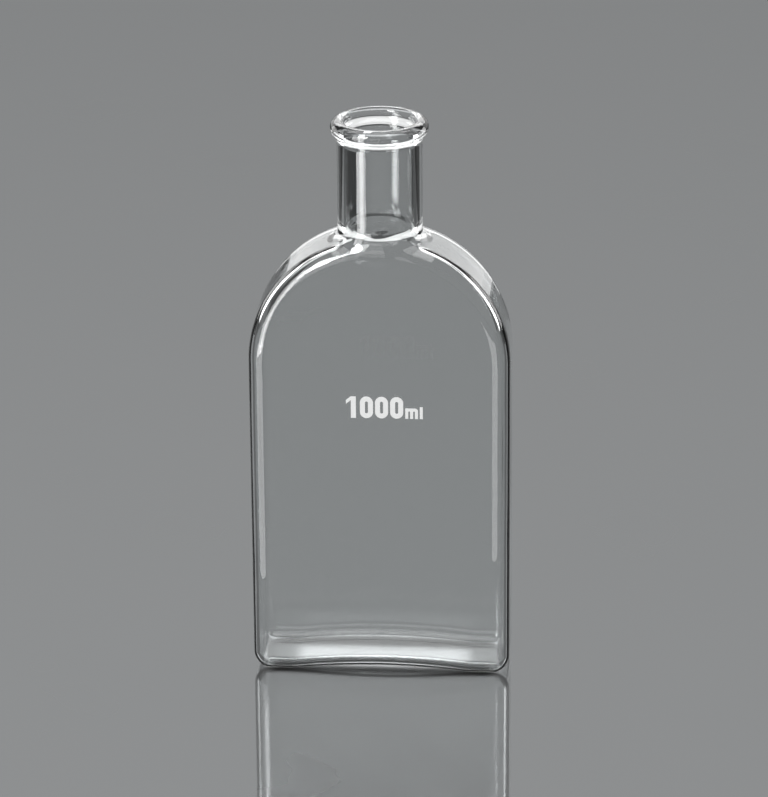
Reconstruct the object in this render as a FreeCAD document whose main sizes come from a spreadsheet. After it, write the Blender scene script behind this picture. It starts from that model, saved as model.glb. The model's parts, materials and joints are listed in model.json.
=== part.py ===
"""A flat-sided culture flask of clear borosilicate glass, nominal capacity one litre.

The flask is blown glass: a flat body with a half-round shoulder, a straight neck tube sealed on to
the shoulder's collar, a rolled rim tooled on to the neck's end, and a capacity mark fired on to the
front panel in white enamel.  The frame has +Z up the neck and -Y out of the front panel, with the
origin at the middle of the base.  All sizes are in millimetres.
"""
import FreeCAD, Part
import enum
import math
import os
import Sketcher

from FreeCAD import Vector

DRIVING_SIZES = [
    # alias, value, what it measures
    ("body_width", 130, "outside width across the front panel"),
    ("body_depth", 45, "outside depth, front panel to back panel"),
    ("spring_height", 167, "height of the centre of the half-round shoulder above the table"),
    ("edge_radius", 9, "outside rounding of every edge of the body"),
    ("body_wall", 2.6, "glass thickness of panels, sides and shoulder"),
    ("base_thickness", 3, "glass thickness of the base at its foot"),
    ("arch_rise", 2.7, "rise of the arched underside between the two feet"),
    ("arch_half_span", 46, "half the distance between the feet"),
    ("toe_radius", 20, "bend from each foot into the arch"),
    ("collar_height", 5.5, "height of the neck seal above the shoulder's crown"),
    ("neck_setback", 1.5, "how far the neck stands in from the front and back panels"),
    ("neck_wall", 4, "glass thickness of the neck tube"),
    ("neck_length", 40.1, "length of the neck tube, from its seal to the rim"),
    ("root_radius", 4, "outside fillet between shoulder and neck"),
    ("root_radius_inside", 9, "inside fillet between cavity and bore"),
    ("rim_height", 11.4, "height of the rim above the end of the neck tube"),
    ("rim_reach", 3.2, "how far the rim stands out from the neck"),
    ("rim_flare_radius", 6, "hollow bend from the neck out into the rim"),
    ("rim_underside_radius", 3.6, "rounding under the rim's widest line"),
    ("mouth_radius", 2.6, "rounding of the rim's inner edge"),
    ("mouth_relief", 0.2, "how far the mouth opens out from the bore"),
    ("mark_thickness", 0.12, "thickness of the fired enamel"),
    ("mark_left", -16, "left end of the capacity mark, from the middle of the panel"),
    ("mark_baseline", 140.6, "height of the foot of the characters"),
    ("digit_height", 11.4, "height of the digits"),
    ("digit_stroke", 2.5, "width of the digits' strokes"),
    ("digit_gap", 1, "space between characters"),
    ("zero_width", 6.5, "width of a zero"),
    ("one_reach", 2.4, "reach of the one's flag to the left of its stem"),
    ("one_drop", 2, "fall and thickness of the one's flag"),
    ("one_space", 1, "extra space after the one"),
    ("letter_height", 5.5, "height of the unit's low letter"),
    ("tall_letter_height", 6.3, "height of the unit's tall letter"),
    ("letter_stroke", 1.5, "width of the letters' strokes"),
    ("letter_counter", 0.9, "space between the strokes of the letters"),
]

# Places and sizes that follow from the driving sizes, written as expressions.
CROWN_HEIGHT = "(sizes.spring_height + sizes.body_width / 2)"
SEAL_HEIGHT = f"({CROWN_HEIGHT} + sizes.collar_height)"
NECK_RADIUS = "(sizes.body_depth / 2 - sizes.neck_setback)"
BORE_RADIUS = f"({NECK_RADIUS} - sizes.neck_wall)"
NECK_TOP = f"({SEAL_HEIGHT} + sizes.neck_length)"
RIM_RADIUS = f"({NECK_RADIUS} + sizes.rim_reach)"
MOUTH_BORE_RADIUS = f"({BORE_RADIUS} + sizes.mouth_relief)"
RIM_BENDS = "(sizes.rim_flare_radius + sizes.rim_underside_radius)"
RIM_WIDEST_HEIGHT = f"sqrt(2 * {RIM_BENDS} * sizes.rim_reach - sizes.rim_reach ^ 2)"
RIM_EDGE_RADIUS = f"(sizes.rim_height - {RIM_WIDEST_HEIGHT})"

# The arch under the base leaves each foot in a bend and touches it without a corner.
BENDS_TOGETHER = "((sizes.arch_half_span ^ 2 + sizes.arch_rise ^ 2) / (2 * sizes.arch_rise))"
ARCH_RADIUS = f"({BENDS_TOGETHER} - sizes.toe_radius)"

ON_SURFACE = 1e-4
ON_POST = 1e-3

doc = FreeCAD.newDocument("culture_flask")


def make_sheet():
    """The spreadsheet of driving sizes, one aliased cell each."""
    sheet = doc.addObject("Spreadsheet::Sheet", "sizes")
    for row, (alias, value, meaning) in enumerate(DRIVING_SIZES, start=1):
        sheet.set(f"A{row}", alias)
        sheet.set(f"B{row}", str(value))
        sheet.setAlias(f"B{row}", alias)
        sheet.set(f"C{row}", meaning)
    doc.recompute()
    return sheet


def value_of(expression):
    """The number that an expression over the sheet gives."""
    return float(sheet.evalExpression(expression.replace("sizes.", "")))


def origin_plane(body, role):
    """One of a body's own origin planes."""
    return next(o for o in body.Origin.OriginFeatures if o.Role == role)


def new_body(label):
    body = doc.addObject("PartDesign::Body", label)
    body.Label = label
    return body


def new_sketch(body, name, plane):
    """An empty sketch lying on one of the body's origin planes."""
    sketch = body.newObject("Sketcher::SketchObject", name)
    sketch.AttachmentSupport = [(origin_plane(body, plane), "")]
    sketch.MapMode = "FlatFace"
    return sketch


def dimension(sketch, expression, *constraint):
    """A sketch dimension bound to an expression over the sheet."""
    index = sketch.addConstraint(Sketcher.Constraint(*constraint, value_of(expression)))
    sketch.setExpression(f"Constraints[{index}]", expression)


def join(sketch, kind, first, first_end, second, second_end):
    sketch.addConstraint(Sketcher.Constraint(kind, first, first_end, second, second_end))


class Spot(enum.IntEnum):
    """The places on a line or arc that a sketch constraint can name."""

    START = 1
    END = 2
    CENTRE = 3


class Axis(enum.IntEnum):
    """The sketch's own axes.  The horizontal one starts at the origin."""

    HORIZONTAL = -1
    VERTICAL = -2


def arc_between(sketch, centre, first, last):
    """An arc about a centre, anticlockwise from one point to another."""
    angles = [math.atan2(p.y - centre.y, p.x - centre.x) for p in (first, last)]
    circle = Part.Circle(centre, Vector(0, 0, 1), centre.distanceToPoint(first))
    return sketch.addGeometry(Part.ArcOfCircle(circle, *angles))


def flask_sketch(body, name, half_width, floor_height):
    """The body's outline in the front view: two feet, an arch between them, sides and a round shoulder."""
    sketch = new_sketch(body, name, "XZ_Plane")
    half, floor, spring = value_of(half_width), value_of(floor_height), value_of("sizes.spring_height")
    span, rise = value_of("sizes.arch_half_span"), value_of("sizes.arch_rise")
    toe_bend, arch_bend = value_of("sizes.toe_radius"), value_of(ARCH_RADIUS)
    arch_centre = Vector(0, floor + rise - arch_bend, 0)
    feet, toes, toe_centres, turns, springs = {}, {}, {}, {}, {}
    for side in (-1, 1):
        springs[side] = Vector(side * half, spring, 0)
        feet[side] = Vector(side * half, floor, 0)
        toes[side] = Vector(side * span, floor, 0)
        toe_centres[side] = toes[side] + Vector(0, toe_bend, 0)
        turns[side] = toe_centres[side] + (arch_centre - toe_centres[side]).normalize() * toe_bend
    left_side = sketch.addGeometry(Part.LineSegment(springs[-1], feet[-1]))
    left_sole = sketch.addGeometry(Part.LineSegment(feet[-1], toes[-1]))
    left_toe = arc_between(sketch, toe_centres[-1], toes[-1], turns[-1])
    arch = arc_between(sketch, arch_centre, turns[1], turns[-1])
    right_toe = arc_between(sketch, toe_centres[1], turns[1], toes[1])
    right_sole = sketch.addGeometry(Part.LineSegment(toes[1], feet[1]))
    right_side = sketch.addGeometry(Part.LineSegment(feet[1], springs[1]))
    shoulder = arc_between(sketch, Vector(0, spring, 0), springs[1], springs[-1])
    join(sketch, "Coincident", left_side, Spot.END, left_sole, Spot.START)
    join(sketch, "Tangent", left_sole, Spot.END, left_toe, Spot.START)
    join(sketch, "Tangent", left_toe, Spot.END, arch, Spot.END)
    join(sketch, "Tangent", arch, Spot.START, right_toe, Spot.START)
    join(sketch, "Tangent", right_toe, Spot.END, right_sole, Spot.START)
    join(sketch, "Coincident", right_sole, Spot.END, right_side, Spot.START)
    join(sketch, "Tangent", right_side, Spot.END, shoulder, Spot.START)
    join(sketch, "Tangent", shoulder, Spot.END, left_side, Spot.START)
    for sole in (left_sole, right_sole):
        sketch.addConstraint(Sketcher.Constraint("Horizontal", sole))
    for bend in (arch, shoulder):
        sketch.addConstraint(Sketcher.Constraint("PointOnObject", bend, Spot.CENTRE, Axis.VERTICAL))
    sketch.addConstraint(Sketcher.Constraint("Equal", left_toe, right_toe))
    dimension(sketch, half_width, "Radius", shoulder)
    dimension(sketch, ARCH_RADIUS, "Radius", arch)
    dimension(sketch, "sizes.toe_radius", "Radius", right_toe)
    half_span = "sizes.arch_half_span"
    dimension(sketch, half_span, "DistanceX", Axis.HORIZONTAL, Spot.START, right_sole, Spot.START)
    spring_height = "sizes.spring_height"
    dimension(sketch, spring_height, "DistanceY", Axis.HORIZONTAL, Spot.START, shoulder, Spot.CENTRE)
    side_height = f"{spring_height} - {floor_height}"
    dimension(sketch, side_height, "DistanceY", right_sole, Spot.END, shoulder, Spot.CENTRE)
    return sketch


def rounded_slab(body, sketch, depth, radius):
    """The outline padded to both sides of the middle plane, with its rims and bottom corners rounded."""
    pad = body.newObject("PartDesign::Pad", "slab")
    pad.Profile = sketch
    pad.SideType = "Symmetric"
    pad.setExpression("Length", depth)
    doc.recompute()
    sharp = []
    for number, edge in enumerate(pad.Shape.Edges, start=1):
        runs_through = abs(edge.Vertexes[0].Y - edge.Vertexes[-1].Y) > ON_SURFACE
        at_side = abs(abs(edge.Vertexes[0].X) - pad.Shape.BoundBox.XMax) < ON_SURFACE
        at_floor = abs(edge.Vertexes[0].Z - pad.Shape.BoundBox.ZMin) < ON_SURFACE
        if not runs_through or (at_side and at_floor):
            sharp.append(f"Edge{number}")
    rounding = body.newObject("PartDesign::Fillet", "edge_rounding")
    rounding.Base = (pad, sharp)
    rounding.setExpression("Radius", radius)
    doc.recompute()
    return rounding


def upright_cylinder(body, name, radius, bottom, top):
    """A round post about the neck's axis, added to the body."""
    post = body.newObject("PartDesign::AdditiveCylinder", name)
    post.AttachmentSupport = [(origin_plane(body, "XY_Plane"), "")]
    post.MapMode = "FlatFace"
    post.setExpression("AttachmentOffset.Base.z", bottom)
    post.setExpression("Radius", radius)
    post.setExpression("Height", f"{top} - {bottom}")
    doc.recompute()
    return post


def blend_root(body, name, post, post_radius, post_top, radius):
    """A fillet along the closed line where the round post leaves the shoulder."""
    reach, top = value_of(post_radius), value_of(post_top)
    line = []
    for number, edge in enumerate(post.Shape.Edges, start=1):
        if edge.Degenerated:
            continue
        points = edge.discretize(7)
        on_post = all(abs(math.hypot(p.x, p.y) - reach) < ON_POST for p in points)
        upright = max(abs(p.x - points[0].x) + abs(p.y - points[0].y) for p in points) < ON_SURFACE
        at_top = all(abs(p.z - top) < ON_SURFACE for p in points)
        if on_post and not upright and not at_top:
            line.append(f"Edge{number}")
    fillet = body.newObject("PartDesign::Fillet", name)
    fillet.Base = (post, line)
    fillet.setExpression("Radius", radius)
    doc.recompute()
    return fillet


def make_outer_form():
    """The body's outside: the rounded slab and the collar for the neck."""
    body = new_body("outer_form")
    outline = flask_sketch(body, "outer_outline", "sizes.body_width / 2", "0")
    rounded_slab(body, outline, "sizes.body_depth", "sizes.edge_radius")
    collar = upright_cylinder(body, "collar", NECK_RADIUS, "sizes.spring_height", SEAL_HEIGHT)
    blend_root(body, "collar_root", collar, NECK_RADIUS, SEAL_HEIGHT, "sizes.root_radius")
    return body


def make_cavity_form():
    """The body's inside: the space that the medium fills and the bore that leads out of it."""
    body = new_body("cavity_form")
    half_width, depth = "sizes.body_width / 2 - sizes.body_wall", "sizes.body_depth - 2 * sizes.body_wall"
    outline = flask_sketch(body, "cavity_outline", half_width, "sizes.base_thickness")
    rounded_slab(body, outline, depth, "sizes.edge_radius - sizes.body_wall")
    bore = upright_cylinder(body, "collar_bore", BORE_RADIUS, "sizes.spring_height", SEAL_HEIGHT)
    blend_root(body, "bore_root", bore, BORE_RADIUS, SEAL_HEIGHT, "sizes.root_radius_inside")
    return body


def make_flask_body():
    """The blown body: its outside less its inside, open at the top of the collar."""
    shell = doc.addObject("Part::Cut", "flask_body")
    shell.Base = make_outer_form()
    shell.Tool = make_cavity_form()
    shell.Label = "flask_body"
    return shell


def make_neck_tube():
    """A straight tube that stands on the collar, with the same bore and outside."""
    body = new_body("neck_tube")
    sketch = new_sketch(body, "neck_section", "XY_Plane")
    for radius in (NECK_RADIUS, BORE_RADIUS):
        ring = sketch.addGeometry(Part.Circle(Vector(0, 0, 0), Vector(0, 0, 1), value_of(radius)))
        join(sketch, "Coincident", ring, Spot.CENTRE, Axis.HORIZONTAL, Spot.START)
        dimension(sketch, radius, "Radius", ring)
    tube = body.newObject("PartDesign::Pad", "tube")
    tube.Profile = sketch
    tube.setExpression("Length", "sizes.neck_length")
    body.setExpression("Placement.Base.z", SEAL_HEIGHT)
    return body


def make_rim_bead():
    """The tooled rim: it flares from the neck's end to a round edge, with a narrow top and a round mouth."""
    body = new_body("rim_bead")
    sketch = new_sketch(body, "rim_section", "XZ_Plane")
    bore, neck = Vector(value_of(BORE_RADIUS), 0, 0), Vector(value_of(NECK_RADIUS), 0, 0)
    flare, swell = value_of("sizes.rim_flare_radius"), value_of("sizes.rim_underside_radius")
    lip = value_of("sizes.mouth_radius")
    edge_radius = value_of(RIM_EDGE_RADIUS)
    widest = Vector(value_of(RIM_RADIUS), value_of(RIM_WIDEST_HEIGHT), 0)
    swell_centre, edge_centre = widest - Vector(swell, 0, 0), widest - Vector(edge_radius, 0, 0)
    flare_centre = neck + Vector(flare, 0, 0)
    flare_end = flare_centre + (swell_centre - flare_centre).normalize() * flare
    lip_centre = Vector(value_of(MOUTH_BORE_RADIUS) + lip, value_of("sizes.rim_height") - lip, 0)
    top_start, top_end = edge_centre + Vector(0, edge_radius, 0), lip_centre + Vector(0, lip, 0)
    wall_top = lip_centre - Vector(lip, 0, 0)
    seat = sketch.addGeometry(Part.LineSegment(bore, neck))
    hollow = arc_between(sketch, flare_centre, flare_end, neck)
    underside = arc_between(sketch, swell_centre, flare_end, widest)
    edge = arc_between(sketch, edge_centre, widest, top_start)
    top = sketch.addGeometry(Part.LineSegment(top_start, top_end))
    mouth = arc_between(sketch, lip_centre, top_end, wall_top)
    wall = sketch.addGeometry(Part.LineSegment(wall_top, bore))
    join(sketch, "Coincident", seat, Spot.END, hollow, Spot.END)
    join(sketch, "Tangent", hollow, Spot.START, underside, Spot.START)
    join(sketch, "Tangent", underside, Spot.END, edge, Spot.START)
    join(sketch, "Tangent", edge, Spot.END, top, Spot.START)
    join(sketch, "Tangent", top, Spot.END, mouth, Spot.START)
    join(sketch, "Coincident", mouth, Spot.END, wall, Spot.START)
    join(sketch, "Coincident", wall, Spot.END, seat, Spot.START)
    sketch.addConstraint(Sketcher.Constraint("PointOnObject", seat, Spot.START, Axis.HORIZONTAL))
    sketch.addConstraint(Sketcher.Constraint("PointOnObject", seat, Spot.END, Axis.HORIZONTAL))
    sketch.addConstraint(Sketcher.Constraint("PointOnObject", hollow, Spot.CENTRE, Axis.HORIZONTAL))
    sketch.addConstraint(Sketcher.Constraint("Horizontal", top))
    sketch.addConstraint(Sketcher.Constraint("Horizontal", edge, Spot.CENTRE, edge, Spot.START))
    sketch.addConstraint(Sketcher.Constraint("Horizontal", mouth, Spot.CENTRE, mouth, Spot.END))
    dimension(sketch, BORE_RADIUS, "DistanceX", Axis.HORIZONTAL, Spot.START, seat, Spot.START)
    dimension(sketch, NECK_RADIUS, "DistanceX", Axis.HORIZONTAL, Spot.START, seat, Spot.END)
    dimension(sketch, "sizes.rim_flare_radius", "Radius", hollow)
    dimension(sketch, "sizes.rim_underside_radius", "Radius", underside)
    dimension(sketch, RIM_RADIUS, "DistanceX", Axis.HORIZONTAL, Spot.START, edge, Spot.START)
    dimension(sketch, "sizes.rim_height", "DistanceY", seat, Spot.END, top, Spot.START)
    dimension(sketch, "sizes.mouth_radius", "Radius", mouth)
    dimension(sketch, MOUTH_BORE_RADIUS, "DistanceX", Axis.HORIZONTAL, Spot.START, mouth, Spot.END)
    rim = body.newObject("PartDesign::Revolution", "rim")
    rim.Profile = sketch
    rim.ReferenceAxis = (sketch, ["V_Axis"])
    rim.Angle = 360
    body.setExpression("Placement.Base.z", NECK_TOP)
    return body


def closed_outline(sketch, corners):
    """A closed outline whose corners are bound to the sheet.

    Each corner gives its two places as expressions and the kind of run that leaves it.  An arc leaves
    its corner along the straight run that ends there.
    """
    points = [Vector(value_of(across), value_of(up), 0) for across, up, _ in corners]
    runs = []
    for i, (_, _, kind) in enumerate(corners):
        start, end = points[i], points[(i + 1) % len(points)]
        if kind == "line":
            runs.append((sketch.addGeometry(Part.LineSegment(start, end)), Spot.START, Spot.END))
            continue
        heading = (start - points[i - 1]).normalize()
        aside = Vector(-heading.y, heading.x, 0)
        chord = end - start
        turn = chord.dot(chord) / (2 * chord.dot(aside))
        centre = start + aside * turn
        angles = [math.atan2(p.y - centre.y, p.x - centre.x) for p in (start, end)]
        circle = Part.Circle(centre, Vector(0, 0, 1), abs(turn))
        ends = [Spot.START, Spot.END]
        if turn < 0:
            angles.reverse()
            ends.reverse()
        runs.append((sketch.addGeometry(Part.ArcOfCircle(circle, *angles)), *ends))
    for i, (across, up, kind) in enumerate(corners):
        before, _, before_end = runs[i - 1]
        run, run_start, _ = runs[i]
        join(sketch, "Tangent" if kind == "arc" else "Coincident", before, before_end, run, run_start)
        places = ((across, "DistanceX", Axis.VERTICAL), (up, "DistanceY", Axis.HORIZONTAL))
        for expression, direction, axis in places:
            if expression == "0":
                sketch.addConstraint(Sketcher.Constraint("PointOnObject", run, run_start, axis))
            else:
                dimension(sketch, expression, direction, Axis.HORIZONTAL, Spot.START, run, run_start)


def draw_one(sketch):
    stem, edge = "sizes.one_reach", "sizes.one_reach + sizes.digit_stroke"
    top, drop = "sizes.digit_height", "sizes.one_drop"
    closed_outline(sketch, [
        (stem, "0", "line"),
        (edge, "0", "line"),
        (edge, top, "line"),
        (stem, top, "line"),
        ("0", f"{top} - {drop}", "line"),
        ("0", f"{top} - 2 * {drop}", "line"),
        (stem, f"{top} - {drop}", "line"),
    ])


def draw_zero(sketch, left):
    """A tall ring with half-round ends, drawn as two outlines one inside the other."""
    for inset in ("0 * sizes.digit_stroke", "sizes.digit_stroke"):
        near, far = f"{left} + {inset}", f"{left} + sizes.zero_width - {inset}"
        low, high = "sizes.zero_width / 2", "sizes.digit_height - sizes.zero_width / 2"
        closed_outline(sketch, [
            (near, low, "line"),
            (near, high, "arc"),
            (far, high, "line"),
            (far, low, "arc"),
        ])


def draw_low_letter(sketch, left):
    """Three stems under two half-round arches."""
    stroke, counter, top = "sizes.letter_stroke", "sizes.letter_counter", "sizes.letter_height"
    stems = [f"{left} + {i} * ({stroke} + {counter})" for i in range(3)]
    arch = f"{top} - {stroke} - {counter} / 2"
    right = f"{stems[2]} + {stroke}"
    closed_outline(sketch, [
        (stems[0], "0", "line"),
        (stems[0], top, "line"),
        (f"{right} - {stroke}", top, "arc"),
        (right, f"{top} - {stroke}", "line"),
        (right, "0", "line"),
        (stems[2], "0", "line"),
        (stems[2], arch, "arc"),
        (f"{stems[1]} + {stroke}", arch, "line"),
        (f"{stems[1]} + {stroke}", "0", "line"),
        (stems[1], "0", "line"),
        (stems[1], arch, "arc"),
        (f"{stems[0]} + {stroke}", arch, "line"),
        (f"{stems[0]} + {stroke}", "0", "line"),
    ])


def draw_tall_letter(sketch, left):
    right, top = f"{left} + sizes.letter_stroke", "sizes.tall_letter_height"
    closed_outline(sketch, [
        (left, "0", "line"),
        (left, top, "line"),
        (right, top, "line"),
        (right, "0", "line"),
    ])


def make_capacity_mark():
    """The capacity in plain characters, each a thin piece of enamel on the front panel."""
    body = new_body("capacity_mark")
    body.AllowCompound = True
    sketch = new_sketch(body, "characters", "XZ_Plane")
    sketch.setExpression("AttachmentOffset.Base.x", "sizes.mark_left")
    sketch.setExpression("AttachmentOffset.Base.y", "sizes.mark_baseline")
    sketch.setExpression("AttachmentOffset.Base.z", "sizes.body_depth / 2")
    draw_one(sketch)
    first_zero = "sizes.one_reach + sizes.digit_stroke + sizes.one_space + sizes.digit_gap"
    zeros = [f"{first_zero} + {i} * (sizes.zero_width + sizes.digit_gap)" for i in range(3)]
    for left in zeros:
        draw_zero(sketch, left)
    low_letter = f"{zeros[-1]} + sizes.zero_width + sizes.digit_gap"
    draw_low_letter(sketch, low_letter)
    draw_tall_letter(sketch, f"{low_letter} + 3 * (sizes.letter_stroke + sizes.letter_counter)")
    enamel = body.newObject("PartDesign::Pad", "enamel")
    enamel.Profile = sketch
    enamel.setExpression("Length", "sizes.mark_thickness")
    return body


def check(parts):
    """Stop if any object failed to compute or any piece is not a sound solid."""
    for obj in doc.Objects:
        if "Invalid" in obj.State or "Error" in obj.State:
            raise RuntimeError(f"{obj.Name} did not compute: {obj.State}")
    for part in parts:
        if part.Shape.isNull() or not part.Shape.isValid() or not part.Shape.Solids:
            raise RuntimeError(f"{part.Label} is not a valid solid")


def write(parts):
    """One STEP file for each piece, named after its label."""
    os.makedirs("parts", exist_ok=True)
    for part in parts:
        part.Shape.exportStep(f"parts/{part.Label}.step")


sheet = make_sheet()
pieces = [make_flask_body(), make_neck_tube(), make_rim_bead(), make_capacity_mark()]
doc.recompute()
check(pieces)
write(pieces)
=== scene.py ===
import json
import math

import bpy
import numpy as np
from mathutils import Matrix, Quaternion, Vector


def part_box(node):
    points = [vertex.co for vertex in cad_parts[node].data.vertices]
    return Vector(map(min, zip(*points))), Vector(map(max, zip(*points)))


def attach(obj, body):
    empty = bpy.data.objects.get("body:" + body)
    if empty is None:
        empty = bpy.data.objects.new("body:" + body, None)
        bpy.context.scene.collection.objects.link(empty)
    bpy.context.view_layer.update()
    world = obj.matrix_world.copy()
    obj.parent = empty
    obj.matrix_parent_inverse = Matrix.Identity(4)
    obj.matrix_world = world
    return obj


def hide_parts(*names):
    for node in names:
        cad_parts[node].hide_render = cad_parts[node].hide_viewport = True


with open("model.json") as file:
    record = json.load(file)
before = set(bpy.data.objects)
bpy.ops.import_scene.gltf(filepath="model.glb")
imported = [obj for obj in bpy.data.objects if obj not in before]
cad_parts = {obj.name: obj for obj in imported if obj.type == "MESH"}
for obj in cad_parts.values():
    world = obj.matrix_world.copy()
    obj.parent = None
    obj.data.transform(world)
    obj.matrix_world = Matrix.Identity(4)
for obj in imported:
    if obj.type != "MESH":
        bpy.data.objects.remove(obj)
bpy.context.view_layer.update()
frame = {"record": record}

# Sizes that the frame gives, in metres
body_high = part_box("flask_body")[1]
neck_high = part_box("neck_tube")[1]
rim_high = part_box("rim_bead")[1]
neck_bore = next(mount for mount in frame["record"]["mounts"] if mount["name"] == "neck_bore")
HALF_WIDTH = body_high.x
HALF_DEPTH = body_high.y
SEAL_HEIGHT = body_high.z
NECK_RADIUS = neck_high.x
NECK_TOP = neck_high.z
RIM_RADIUS = rim_high.x
RIM_TOP = rim_high.z
BORE_RADIUS = neck_bore["dims"]["r_mm"] / 1000

# Sizes of the glass that its boxes don't give, in metres
EDGE_RADIUS = 0.009
WALL = 0.0026
BASE_THICKNESS = 0.0030
ARCH_RISE = 0.0027
ARCH_HALF_SPAN = 0.046
TOE_RADIUS = 0.020
COLLAR_HEIGHT = 0.0055
ROOT_RADIUS = 0.004
ROOT_RADIUS_INSIDE = 0.009
RIM_FLARE_RADIUS = 0.006
RIM_UNDERSIDE_RADIUS = 0.0036
MOUTH_RADIUS = 0.0026
MOUTH_RELIEF = 0.0002
CROWN_HEIGHT = SEAL_HEIGHT - COLLAR_HEIGHT
SPRING_HEIGHT = CROWN_HEIGHT - HALF_WIDTH
ARCH_RADIUS = (ARCH_HALF_SPAN**2 + ARCH_RISE**2) / (2 * ARCH_RISE) - TOE_RADIUS
TOE_END = ARCH_HALF_SPAN * ARCH_RADIUS / (ARCH_RADIUS + TOE_RADIUS)

# How far below the crown the neck starts, and below the cavity's crown its bore, in metres
NECK_SINK = 0.005
BORE_SINK = 0.0045

# How far the blown surfaces wander from their true form, in metres
RIPPLE_OUTSIDE = 0.00003
RIPPLE_INSIDE = 0.00010
FINE_SHARE = 0.08

# The waves of the blown surfaces: radians per metre along x, y and z, and a phase
SLOW_WAVES = [(118, 0, 41, 0.6), (-97, 150, 61, 2.1), (35, -90, 173, 4.0)]
FINE_WAVE = (790, 320, 510, 0)
CROSSING_WAVE = (-450, 0, 640, 1.3)

# How far the waves stay from the heel and the crown, and over what height they die out, in metres
CALM_END = 0.012
HEEL_FADE = 0.02
CROWN_FADE = 0.03

# How far the waves inside are shifted from those outside, in metres
SHIFT_ACROSS = 0.01
SHIFT_UP = 0.02

# Where the rings of points cease to bend with the arch, in metres
ARCH_FADE_TOP = 0.05
ARCH_FADE_HEIGHT = 0.038

# Where rings of evenly spaced points turn into rings of even angles, in metres under the crown
EVEN_ANGLES_START = 0.016
EVEN_ANGLES_HEIGHT = 0.013

# Where the shoulder's rings end, out from the axis, and the root's rings end, above the crown, in metres
SHOULDER_END = 0.030
ROOT_END = 0.001

# How the base's rings lie about the toes and the axis, as shares of the foot ring
FOOT_MARGIN = 0.02
TOE_BEND = 0.07
ARCH_MARGIN = 0.1
HUB = 0.04

# The nearest and farthest that a surface is looked for from the upright axis, in metres
SEARCH_NEAR = 0.0005
SEARCH_FAR = HALF_WIDTH * 1.2

# How finely the glass is meshed
POINTS_PER_RING = 320
OUTLINE_POINTS = 4001
HALVINGS = 44
HEEL_TURNS = np.radians(np.arange(8, 90, 7))
SIDE_RINGS = 30
SHOULDER_RINGS = 52
ROOT_RINGS = 28
COLLAR_RINGS = 8
NECK_RINGS = 16
FOOT_RINGS = 5
TOE_RINGS = 8
ARCH_RINGS = 12
MOUTH_RINGS = 7
EVEN_ANGLES = np.arange(POINTS_PER_RING) * math.tau / POINTS_PER_RING

# The thin air between the feet and the floor, in metres
AIR_FILM = 0.0002

# Colours and other measures of the materials
GLASS_TINT = (0.928, 0.940, 0.940, 1)
BOROSILICATE_IOR = 1.473
ENAMEL_DARK = (0.71, 0.715, 0.71, 1)
ENAMEL_LIGHT = (0.80, 0.805, 0.80, 1)
FELT_BLACK = (0.03, 0.03, 0.03, 1)
FLOOR_DARK = (0.048, 0.0492, 0.0498, 1)
FLOOR_LIGHT = (0.051, 0.0522, 0.0528, 1)
FLOOR_GLOSS = (0.147, 0.151, 0.153, 1)
# Black of the floor's painted contact shadow
CONTACT_SHADOW_BLACK = (0.01, 0.01, 0.01, 1)
ROOM_GREY = (0.3, 0.3, 0.3, 1)

# The kinds of light paths that a panel shows in
GLASS_AND_GLOSS = ["glossy", "transmission"]
EVERYWHERE = ["diffuse", "glossy", "transmission"]


# Materials
def new_material(name):
    """A material with an empty node tree and its output node."""
    material = bpy.data.materials.new(name)
    material.use_nodes = True
    tree = material.node_tree
    tree.nodes.clear()
    return material, tree, tree.nodes.new("ShaderNodeOutputMaterial")


def object_noise(tree, scale, detail):
    """Noise laid over the object in metres."""
    place = tree.nodes.new("ShaderNodeTexCoord")
    noise = tree.nodes.new("ShaderNodeTexNoise")
    noise.inputs["Scale"].default_value = scale
    noise.inputs["Detail"].default_value = detail
    tree.links.new(place.outputs["Object"], noise.inputs["Vector"])
    return noise


def ranged(tree, source, low, high):
    """A value between two limits that follows the middle range of a noise."""
    reach = tree.nodes.new("ShaderNodeMapRange")
    reach.inputs["From Min"].default_value = 0.3
    reach.inputs["From Max"].default_value = 0.7
    reach.inputs["To Min"].default_value = low
    reach.inputs["To Max"].default_value = high
    tree.links.new(source, reach.inputs["Value"])
    return reach.outputs["Result"]


def shaded(tree, source, dark, light):
    """A colour between two others that follows a noise."""
    shade = tree.nodes.new("ShaderNodeValToRGB")
    shade.color_ramp.elements[0].color = dark
    shade.color_ramp.elements[1].color = light
    tree.links.new(source, shade.inputs["Fac"])
    return shade.outputs["Color"]


def make_clear_glass():
    """Clear borosilicate: a trace of grey-green and a faint haze in patches."""
    material, tree, output = new_material("clear_glass")
    glass = tree.nodes.new("ShaderNodeBsdfPrincipled")
    glass.inputs["Base Color"].default_value = GLASS_TINT
    glass.inputs["Transmission Weight"].default_value = 1
    glass.inputs["IOR"].default_value = BOROSILICATE_IOR
    haze = object_noise(tree, scale=38, detail=3)
    roughness = ranged(tree, haze.outputs["Fac"], low=0.0, high=0.012)
    tree.links.new(roughness, glass.inputs["Roughness"])
    tree.links.new(glass.outputs["BSDF"], output.inputs["Surface"])
    return material


def make_fused_seam():
    """The inside of fused glass, where one piece runs into the next and nothing shows."""
    material, tree, output = new_material("fused_seam")
    through = tree.nodes.new("ShaderNodeBsdfTransparent")
    tree.links.new(through.outputs["BSDF"], output.inputs["Surface"])
    return material


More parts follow.
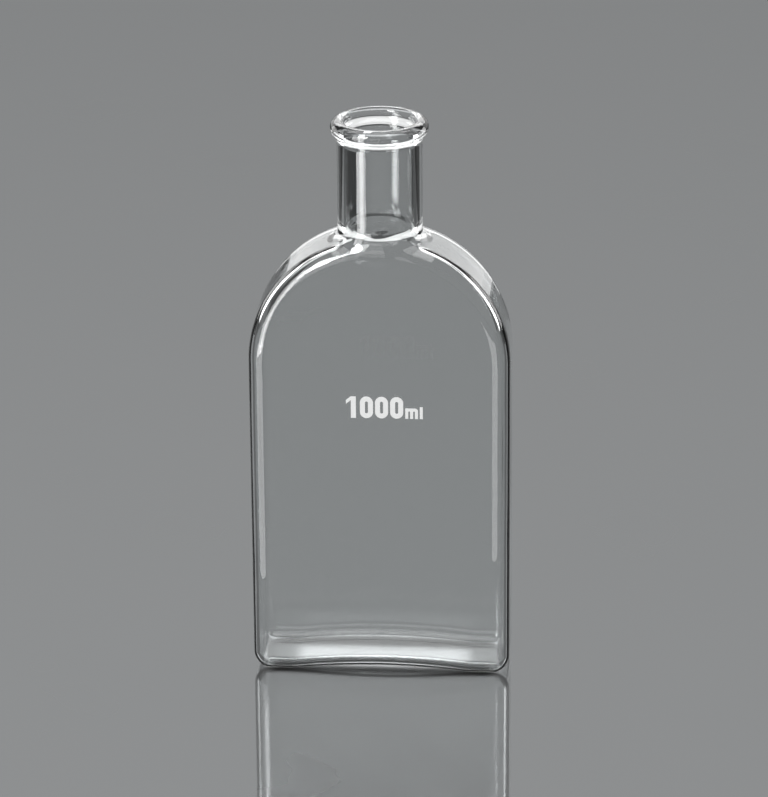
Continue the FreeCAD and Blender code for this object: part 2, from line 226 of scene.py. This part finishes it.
def make_white_enamel():
    """Fired screen-print enamel: off-white, satin, with a grainy surface."""
    material, tree, output = new_material("white_enamel")
    enamel = tree.nodes.new("ShaderNodeBsdfPrincipled")
    grain = object_noise(tree, scale=2600, detail=4)
    colour = shaded(tree, grain.outputs["Fac"], ENAMEL_DARK, ENAMEL_LIGHT)
    tree.links.new(colour, enamel.inputs["Base Color"])
    roughness = ranged(tree, grain.outputs["Fac"], low=0.38, high=0.55)
    tree.links.new(roughness, enamel.inputs["Roughness"])
    bump = tree.nodes.new("ShaderNodeBump")
    bump.inputs["Strength"].default_value = 0.25
    bump.inputs["Distance"].default_value = 0.00005
    tree.links.new(grain.outputs["Fac"], bump.inputs["Height"])
    tree.links.new(bump.outputs["Normal"], enamel.inputs["Normal"])
    tree.links.new(enamel.outputs["BSDF"], output.inputs["Surface"])
    return material


def make_black_card():
    """Black felt."""
    material, tree, output = new_material("black_card")
    felt = tree.nodes.new("ShaderNodeBsdfDiffuse")
    felt.inputs["Color"].default_value = FELT_BLACK
    tree.links.new(felt.outputs["BSDF"], output.inputs["Surface"])
    return material


def make_grey_floor():
    """Grey paint under a thin even gloss, both mixed towards black by a painted contact shadow close to
    what stands on it.
    """
    material, tree, output = new_material("grey_floor")
    paint = tree.nodes.new("ShaderNodeBsdfDiffuse")
    cloud = object_noise(tree, scale=9, detail=3)
    colour = shaded(tree, cloud.outputs["Fac"], FLOOR_DARK, FLOOR_LIGHT)
    tree.links.new(colour, paint.inputs["Color"])
    gloss = tree.nodes.new("ShaderNodeBsdfGlossy")
    gloss.inputs["Color"].default_value = FLOOR_GLOSS
    roughness = ranged(tree, cloud.outputs["Fac"], low=0.03, high=0.05)
    tree.links.new(roughness, gloss.inputs["Roughness"])
    both = tree.nodes.new("ShaderNodeAddShader")
    tree.links.new(paint.outputs["BSDF"], both.inputs[0])
    tree.links.new(gloss.outputs["BSDF"], both.inputs[1])
    # Painted contact shadow: where other things stand close, the paint and the gloss mix towards black
    contact = tree.nodes.new("ShaderNodeAmbientOcclusion")
    contact.samples = 12
    contact.inputs["Distance"].default_value = 0.02
    shadow = tree.nodes.new("ShaderNodeBsdfDiffuse")
    shadow.inputs["Color"].default_value = CONTACT_SHADOW_BLACK
    blend = tree.nodes.new("ShaderNodeMixShader")
    tree.links.new(contact.outputs["AO"], blend.inputs["Fac"])
    tree.links.new(shadow.outputs["BSDF"], blend.inputs[1])
    tree.links.new(both.outputs["Shader"], blend.inputs[2])
    tree.links.new(blend.outputs["Shader"], output.inputs["Surface"])
    return material


clear_glass = make_clear_glass()
fused_seam = make_fused_seam()
black_card = make_black_card()


# The glass as distances from its surfaces
def wave(x, y, z, along_x, along_y, along_z, phase):
    """The height of one wave."""
    return np.sin(along_x * x + along_y * y + along_z * z + phase)


def ripple(x, y, z):
    """The unevenness of blown glass, slow and fine, that dies out at the heel and the neck."""
    slow = sum(wave(x, y, z, *numbers) for numbers in SLOW_WAVES) / len(SLOW_WAVES)
    fine = wave(x, y, z, *FINE_WAVE) * wave(x, y, z, *CROSSING_WAVE)
    under_crown = np.clip((CROWN_HEIGHT - CALM_END - z) / CROWN_FADE, 0, 1)
    over_heel = np.clip((z - CALM_END) / HEEL_FADE, 0, 1)
    return (slow + FINE_SHARE * fine) * under_crown * over_heel


def eased(share):
    """A share from 0 to 1 that starts and ends gently."""
    return share * share * (3 - 2 * share)


def arch_rise(x):
    """Height of the arched underside: level at the feet, a bend at each toe and one wide arc between."""
    from_toe = np.clip(ARCH_HALF_SPAN - np.abs(x), 0, ARCH_HALF_SPAN - TOE_END)
    toe = TOE_RADIUS - np.sqrt(TOE_RADIUS**2 - from_toe**2)
    from_middle = np.minimum(np.abs(x), TOE_END)
    arch = ARCH_RISE - ARCH_RADIUS + np.sqrt(ARCH_RADIUS**2 - from_middle**2)
    return np.where(np.abs(x) < TOE_END, arch, toe)


def lifted(x, level):
    """Height of a point on a ring: rings bend with the arch at the base and lie level higher up."""
    fade = np.clip((ARCH_FADE_TOP - level) / ARCH_FADE_HEIGHT, 0, 1)
    return level + arch_rise(x) * eased(fade)


def both_distances(first, second):
    """Distance outside the form that two others have in common, round at the corner."""
    corner = np.hypot(np.maximum(first, 0), np.maximum(second, 0))
    return corner + np.minimum(np.maximum(first, second), 0)


def slab_distance(x, y, z, half_width, half_depth, floor):
    """Distance outside a flat slab with rounded edges, an arched floor and a half-round top."""
    radius = EDGE_RADIUS - (HALF_WIDTH - half_width)
    above = z - SPRING_HEIGHT
    across = np.where(above > 0, np.hypot(x, above), np.abs(x)) - (half_width - radius)
    below = floor + arch_rise(x) + radius - z
    depth = np.abs(y) - (half_depth - radius)
    return both_distances(both_distances(across, below), depth) - radius


def post_distance(x, y, z, radius, foot):
    """Distance outside an upright round post that starts at the height of its foot."""
    return both_distances(np.hypot(x, y) - radius, foot - z)


def filleted_union(first, second, radius):
    """Distance outside two forms that meet in a fillet."""
    hollow = np.hypot(np.maximum(radius - first, 0), np.maximum(radius - second, 0))
    return np.maximum(radius, np.minimum(first, second)) - hollow


def outside_distance(x, y, z):
    """Distance outside the flask's outer surface."""
    slab = slab_distance(x, y, z, HALF_WIDTH, HALF_DEPTH, 0) + RIPPLE_OUTSIDE * ripple(x, y, z)
    post = post_distance(x, y, z, NECK_RADIUS, CROWN_HEIGHT - NECK_SINK)
    return filleted_union(slab, post, ROOT_RADIUS)


def inside_distance(x, y, z):
    """Distance outside the cavity, which is the way into the glass from the flask's inside."""
    slab = slab_distance(x, y, z, HALF_WIDTH - WALL, HALF_DEPTH - WALL, BASE_THICKNESS)
    slab = slab + RIPPLE_INSIDE * ripple(y + SHIFT_ACROSS, x, z - SHIFT_UP)
    post = post_distance(x, y, z, BORE_RADIUS, CROWN_HEIGHT - WALL - BORE_SINK)
    return filleted_union(slab, post, ROOT_RADIUS_INSIDE)


# The glass as rings of points
def radii(distance, level, angles):
    """How far the surface is from the upright axis around one ring, found by halving."""
    low = np.full_like(angles, SEARCH_NEAR)
    high = np.full_like(angles, SEARCH_FAR)
    for _ in range(HALVINGS):
        middle = (low + high) / 2
        x = middle * np.cos(angles)
        y = middle * np.sin(angles)
        is_in = distance(x, y, lifted(x, level)) < 0
        low = np.where(is_in, middle, low)
        high = np.where(is_in, high, middle)
    return (low + high) / 2


def ring_points(angles, radius, level):
    """A ring of points about the upright axis."""
    x = radius * np.cos(angles)
    y = radius * np.sin(angles)
    return np.stack([x, y, lifted(x, level)], axis=1)


def traced_ring(distance, level):
    """The surface around one ring, in points spread evenly along it, or by angle close to the neck."""
    turn = np.linspace(0, math.tau, OUTLINE_POINTS)
    fine = np.unwrap(np.arctan2(HALF_DEPTH * np.sin(turn), HALF_WIDTH * np.cos(turn)))
    outline = ring_points(fine, radii(distance, level, fine), level)
    steps = np.linalg.norm(np.diff(outline, axis=0), axis=1)
    length = np.concatenate([[0], np.cumsum(steps)])
    even = np.interp(np.arange(POINTS_PER_RING) / POINTS_PER_RING * length[-1], length, fine)
    over_start = level - (CROWN_HEIGHT - EVEN_ANGLES_START)
    share = eased(np.clip(over_start / EVEN_ANGLES_HEIGHT, 0, 1))
    angles = (1 - share) * even + share * EVEN_ANGLES
    return ring_points(angles, radii(distance, level, angles), level)


def wall_heights(floor, inset):
    """Heights of the rings from the heel to the seal, closer together where the wall bends."""
    radius = EDGE_RADIUS - inset
    half_width = HALF_WIDTH - inset
    heel = floor + radius * (1 - np.cos(HEEL_TURNS))
    side = np.linspace(floor + radius, SPRING_HEIGHT, SIDE_RINGS)
    last_turn = math.acos(SHOULDER_END / half_width)
    shoulder = SPRING_HEIGHT + half_width * np.sin(np.linspace(0, last_turn, SHOULDER_RINGS)[1:])
    root = np.linspace(shoulder[-1], CROWN_HEIGHT + ROOT_END, ROOT_RINGS)[1:]
    collar = np.linspace(root[-1], SEAL_HEIGHT, COLLAR_RINGS)[1:]
    return np.concatenate([heel, side, shoulder, root, collar])


def base_rings(ring, floor):
    """Rings that close in from a foot ring towards the axis, closer together where the toes bend."""
    toe_share = ARCH_HALF_SPAN / ring[:, 0].max()
    foot = np.linspace(1, toe_share + FOOT_MARGIN, FOOT_RINGS)[1:]
    toe = np.linspace(toe_share, toe_share - TOE_BEND, TOE_RINGS)
    arch = np.linspace(toe_share - ARCH_MARGIN, HUB, ARCH_RINGS)
    rings = []
    for share in np.concatenate([foot, toe, arch])[::-1]:
        inner = ring * [share, share, 1]
        inner[:, 2] = floor + arch_rise(inner[:, 0])
        rings.append(inner)
    return rings


# The glass as closed pieces
def loft_faces(ring_count, seams, capped):
    """The faces through rings of points, and the numbers of those faces that lie in a seam.

    The rings run in a loop, or when capped, from one pole to another, which follow the rings' points.
    """
    count = POINTS_PER_RING
    faces = []
    seam_faces = []
    for span in range(ring_count - 1 if capped else ring_count):
        start = span * count
        after = (span + 1) % ring_count * count
        for i in range(count):
            j = (i + 1) % count
            if span in seams:
                seam_faces.append(len(faces))
            faces.append((start + i, start + j, after + j, after + i))
    if capped:
        last = (ring_count - 1) * count
        first_pole = ring_count * count
        last_pole = first_pole + 1
        for i in range(count):
            j = (i + 1) % count
            faces.append((first_pole, j, i))
            faces.append((last_pole, last + i, last + j))
    return faces, seam_faces


def lofted_piece(name, rings, seams, poles=()):
    """A closed piece of glass through rings of points.

    A seam is the number of a ring whose span to the next ring is a hidden face between two pieces
    of fused glass.
    """
    points = np.concatenate(rings).tolist() + list(poles)
    faces, seam_faces = loft_faces(len(rings), seams, bool(poles))
    mesh = bpy.data.meshes.new(name)
    mesh.from_pydata(points, [], faces)
    mesh.validate()
    mesh.shade_smooth()
    mesh.materials.append(clear_glass)
    mesh.materials.append(fused_seam)
    seam_slot = 1
    seam_edges = set()
    for number in seam_faces:
        mesh.polygons[number].material_index = seam_slot
        seam_edges.update(mesh.polygons[number].edge_keys)
    for edge in mesh.edges:
        edge.use_edge_sharp = edge.key in seam_edges
    piece = bpy.data.objects.new(name, mesh)
    bpy.context.collection.objects.link(piece)
    piece.visible_shadow = False
    piece.visible_diffuse = False
    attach(piece, "root")
    return piece


def body_glass():
    """The blown body: up its outside from the middle of the base, and down the cavity's wall."""
    outer = [traced_ring(outside_distance, level) for level in wall_heights(0, 0)]
    inner = [traced_ring(inside_distance, level) for level in wall_heights(BASE_THICKNESS, WALL)]
    up = base_rings(outer[0], 0) + outer
    down = (base_rings(inner[0], BASE_THICKNESS) + inner)[::-1]
    poles = [(0, 0, ARCH_RISE), (0, 0, BASE_THICKNESS + ARCH_RISE)]
    piece = lofted_piece("body_glass", up + down, {len(up) - 1}, poles)
    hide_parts("flask_body")
    return piece


def neck_glass():
    """The straight tube between the body's collar and the rim."""
    heights = np.linspace(SEAL_HEIGHT, NECK_TOP, NECK_RINGS)
    outer = [ring_points(EVEN_ANGLES, NECK_RADIUS, z) for z in heights]
    inner = [ring_points(EVEN_ANGLES, BORE_RADIUS, z) for z in heights[::-1]]
    seams = {len(outer) - 1, len(outer) + len(inner) - 1}
    piece = lofted_piece("neck_glass", outer + inner, seams)
    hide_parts("neck_tube")
    return piece


def arc(centre, radius, first, last, count):
    """Points of a section along an arc, as distance out and height."""
    turns = np.linspace(first, last, count)
    return [(centre[0] + radius * math.cos(turn), centre[1] + radius * math.sin(turn)) for turn in turns]


def rim_section():
    """The rim's section from the neck's outside, over the round edge and the mouth, to the bore."""
    bends = RIM_FLARE_RADIUS + RIM_UNDERSIDE_RADIUS
    reach = RIM_RADIUS - NECK_RADIUS
    widest = NECK_TOP + math.sqrt(2 * bends * reach - reach**2)
    edge_radius = RIM_TOP - widest
    turn = math.acos((bends - reach) / bends)
    flare = (NECK_RADIUS + RIM_FLARE_RADIUS, NECK_TOP)
    underside = (RIM_RADIUS - RIM_UNDERSIDE_RADIUS, widest)
    edge = (RIM_RADIUS - edge_radius, widest)
    lip = (BORE_RADIUS + MOUTH_RELIEF + MOUTH_RADIUS, RIM_TOP - MOUTH_RADIUS)
    section = arc(flare, RIM_FLARE_RADIUS, math.pi, math.pi - turn, count=13)
    section += arc(underside, RIM_UNDERSIDE_RADIUS, -turn, 0, count=13)[1:]
    section += arc(edge, edge_radius, 0, math.pi / 2, count=17)[1:]
    section += arc(lip, MOUTH_RADIUS, math.pi / 2, math.pi, count=15)
    for share in np.linspace(0, 1, MOUTH_RINGS)[1:]:
        section.append((BORE_RADIUS + MOUTH_RELIEF * (1 - share), lip[1] + share * (NECK_TOP - lip[1])))
    return section


def rim_glass():
    """The flared and rolled rim."""
    rings = [ring_points(EVEN_ANGLES, out, up) for out, up in rim_section()]
    piece = lofted_piece("rim_glass", rings, {len(rings) - 1})
    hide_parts("rim_bead")
    return piece


def finish_print():
    """The capacity mark keeps its own shape and takes the enamel."""
    mark = bpy.data.objects["capacity_mark"]
    enamel = make_white_enamel()
    for place in mark.material_slots:
        place.material = enamel


# The studio
def sheet(name, corners, material):
    """Flat pieces without thickness, each with four corners."""
    mesh = bpy.data.meshes.new(name)
    faces = [tuple(range(first, first + 4)) for first in range(0, len(corners), 4)]
    mesh.from_pydata(corners, [], faces)
    mesh.materials.append(material)
    piece = bpy.data.objects.new(name, mesh)
    bpy.context.collection.objects.link(piece)
    return piece


def make_floor():
    """A plain grey sweep, a film of air below the feet."""
    reach = 6.0
    level = -AIR_FILM
    corners = [(-reach, -reach, level), (reach, -reach, level)]
    corners += [(reach, reach, level), (-reach, reach, level)]
    floor = sheet("floor", corners, make_grey_floor())
    return floor


def shade_heel():
    """Strips inside the base that only shade the floor, as the thick glass along the heel does."""
    across = HALF_WIDTH - EDGE_RADIUS
    near = 0.011
    far = 0.020
    level = BASE_THICKNESS
    corners = []
    for side in (-1, 1):
        corners += [(-across, side * far, level), (across, side * far, level)]
        corners += [(across, side * near, level), (-across, side * near, level)]
    strips = sheet("heel_shade", corners, black_card)
    strips.visible_camera = False
    strips.visible_diffuse = False
    strips.visible_glossy = False
    strips.visible_transmission = False


def flag(name, low, high):
    """An upright black card that only the light through the glass meets."""
    corners = [low, (high[0], high[1], low[2]), high, (low[0], low[1], high[2])]
    card = sheet(name, corners, black_card)
    card.visible_camera = False
    card.visible_diffuse = False
    card.visible_glossy = False
    card.visible_shadow = False


def softbox(name, place, aim, width, height, radiance, seen_in=GLASS_AND_GLOSS, only=(), but=()):
    """A plain white panel of a given brightness that faces a point.

    It lights only the pieces in one list, or every piece but those in another.
    """
    light = bpy.data.lights.new(name, "AREA")
    light.shape = "RECTANGLE"
    light.size = width
    light.size_y = height
    light.energy = radiance * math.pi * width * height
    lamp = bpy.data.objects.new(name, light)
    lamp.location = place
    lamp.rotation_euler = (Vector(aim) - Vector(place)).to_track_quat("-Z", "Y").to_euler()
    lamp.visible_camera = False
    lamp.visible_diffuse = "diffuse" in seen_in
    lamp.visible_glossy = "glossy" in seen_in
    lamp.visible_transmission = "transmission" in seen_in
    if only or but:
        lit = bpy.data.collections.new(name)
        lamp.light_linking.receiver_collection = lit
        for piece in only or but:
            lit.objects.link(piece)
        for entry in lit.collection_objects:
            entry.light_linking.link_state = "INCLUDE" if only else "EXCLUDE"
    bpy.context.collection.objects.link(lamp)


def around(azimuth, distance, height):
    """A place around the flask: azimuth in degrees from the front, to the right."""
    turn = math.radians(azimuth)
    return (distance * math.sin(turn), -distance * math.cos(turn), height)


def light_room(neck, rim):
    """The grey room, its main lights and the panels that the floor mirrors behind the flask."""
    world = bpy.data.worlds.new("studio")
    bpy.context.scene.world = world
    world.use_nodes = True
    background = world.node_tree.nodes["Background"]
    background.inputs["Color"].default_value = ROOM_GREY
    background.inputs["Strength"].default_value = 1
    softbox(
        "top_softbox", place=(0, -0.1, 1.3), aim=(0, -0.1, 0),
        width=1.4, height=1.4, radiance=2.5, seen_in=EVERYWHERE,
    )
    softbox(
        "front_softbox", place=around(-38, 2.2, 1.6), aim=(0, 0, 0.14),
        width=1.0, height=1.0, radiance=22, seen_in=EVERYWHERE,
    )
    softbox(
        "back_panel", place=(0.33, 1.6, 0.495), aim=(0.33, 0, 0.495),
        width=1.86, height=0.93, radiance=1.0, but=[neck, rim],
    )
    softbox(
        "back_left_panel", place=(-1.30, 1.6, 0.515), aim=(-1.30, 0, 0.515),
        width=1.40, height=0.89, radiance=1.0,
    )


def light_edges(glass):
    """Panels for the glass alone that draw the bright lines along the body's edges."""
    softbox(
        "left_softbox", place=around(-50, 0.6, 0.3), aim=(0, 0, 0.3),
        width=0.22, height=0.6, radiance=8, only=glass,
    )
    softbox(
        "left_strip", place=(-0.143, -0.105, 0.075), aim=(-0.0605, -0.018, 0.075),
        width=0.09, height=0.15, radiance=4, seen_in=["glossy"], only=glass,
    )
    softbox(
        "right_strip", place=(0.112, -0.159, 0.075), aim=(0.0605, -0.018, 0.075),
        width=0.09, height=0.15, radiance=3.5, seen_in=["glossy"], only=glass,
    )
    softbox(
        "right_rear_strip", place=around(127, 0.8, 0.32), aim=(0, 0, 0.05),
        width=0.3, height=0.4, radiance=4, only=glass,
    )
    softbox(
        "left_rear_strip", place=around(-127, 0.8, 0.32), aim=(0, 0, 0.05),
        width=0.3, height=0.4, radiance=2.5, only=glass,
    )


def light_top(glass, neck, rim):
    """Panels for the shoulder, the neck and the rim."""
    softbox(
        "back_strip", place=(-0.09, 1.6, 1.27), aim=(-0.09, 0, 1.27),
        width=2.2, height=0.5, radiance=3.5,
    )
    softbox(
        "rim_panel", place=(-0.1, 1.4, 0.95), aim=(0, 0, RIM_TOP),
        width=1.6, height=0.7, radiance=2.2, only=[rim],
    )
    softbox(
        "mouth_panel", place=(0.33, 1.55, 0.5), aim=(0.33, 0, 0.5),
        width=1.86, height=0.86, radiance=0.65, only=[neck, rim],
    )
    softbox(
        "front_fill", place=around(-15, 2.2, 0.75), aim=(0, 0, 0.15),
        width=1.7, height=0.75, radiance=1.2, only=glass,
    )


def light_floor(floor):
    """A panel that keeps the floor pale from behind, and the light that gathers under the base."""
    softbox(
        "front_panel", place=around(20, 3.0, 1.0), aim=(0, 0, 1.0),
        width=5.0, height=2.0, radiance=1.0, only=[floor],
    )
    softbox(
        "base_glow", place=(0, -0.001, 0.0035), aim=(0, -0.001, 0),
        width=0.086, height=0.020, radiance=15, seen_in=["diffuse"], only=[floor],
    )


def hang_flags():
    """Black cards behind the flask that darken the lines along its sides."""
    flag("left_flag", low=(-0.6, 0.5, 0.03), high=(-0.125, 0.5, 0.115))
    flag("right_flag", low=(0.175, 0.5, 0.03), high=(0.6, 0.5, 0.115))


def place_camera():
    """The photograph's viewpoint: a long lens a little right of the middle, looking down."""
    azimuth = math.radians(4.25)
    elevation = math.radians(21.45)
    roll = math.radians(-0.45)
    distance = 2.150
    aim = Vector((0.00123, 0, 0.1423))
    outward = Vector((
        math.sin(azimuth) * math.cos(elevation),
        -math.cos(azimuth) * math.cos(elevation),
        math.sin(elevation),
    ))
    lens = bpy.data.cameras.new("camera")
    lens.lens = 194.1
    lens.sensor_width = 36
    lens.clip_start = 0.05
    camera = bpy.data.objects.new("camera", lens)
    camera.location = aim + outward * distance
    level = (-outward).to_track_quat("-Z", "Y")
    camera.rotation_euler = (level @ Quaternion((0, 0, 1), roll)).to_euler()
    bpy.context.collection.objects.link(camera)
    bpy.context.scene.camera = camera


# The flask, its studio and the camera
body = body_glass()
neck = neck_glass()
rim = rim_glass()
glass = [body, neck, rim]
finish_print()
floor = make_floor()
shade_heel()
light_room(neck, rim)
light_edges(glass)
light_top(glass, neck, rim)
light_floor(floor)
hang_flags()
place_camera()
bpy.context.scene.view_settings.view_transform = "Standard"
